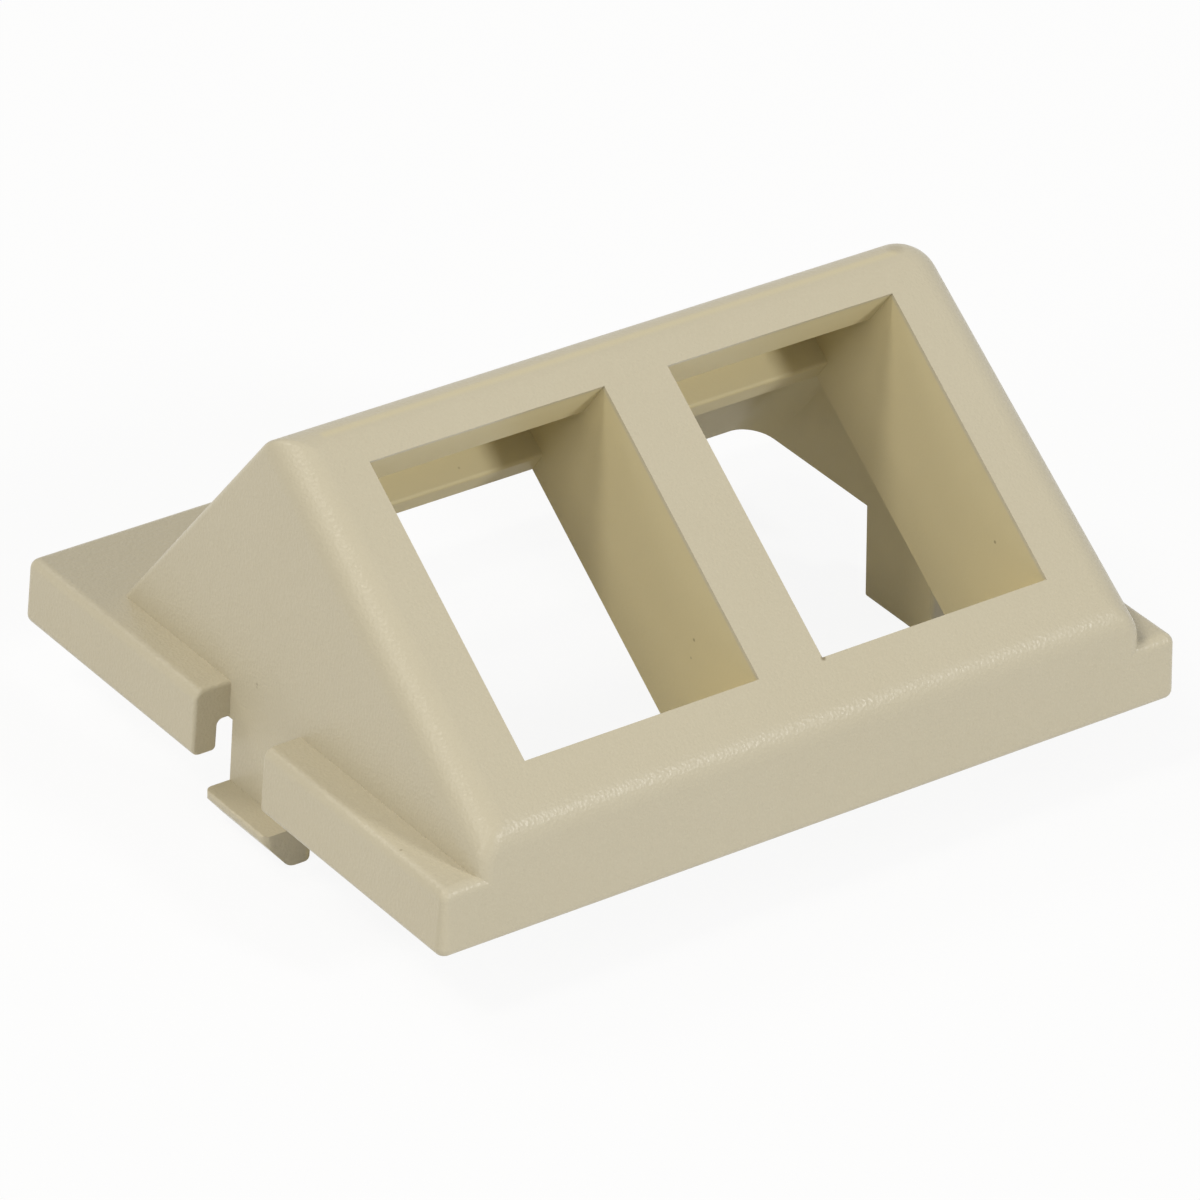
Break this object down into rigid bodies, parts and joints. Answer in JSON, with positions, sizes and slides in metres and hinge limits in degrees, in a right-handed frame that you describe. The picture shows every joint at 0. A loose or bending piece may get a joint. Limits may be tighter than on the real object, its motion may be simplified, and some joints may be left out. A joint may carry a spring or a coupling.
{
  "type": "keystone faceplate",
  "caption": "Angled faceplate moulded in one piece, with square keystone jack ports in its slope and a snap tongue at each end.",
  "frame": {"origin": "middle of the rim that the skirt stands on, in the plane of the face that the insert is snapped into", "axes": "+X along the plate from one snap tongue to the other, +Y from the low front edge to the cable side, +Z out of the wall plate, towards the ridge"},
  "size_m": [0.048, 0.0396, 0.024],
  "materials": {
    "ivory_plastic": "fine spark-eroded"
  },
  "bodies": {
    "root": {"angled_faceplate": "ivory_plastic"}
  },
  "joints": []
}
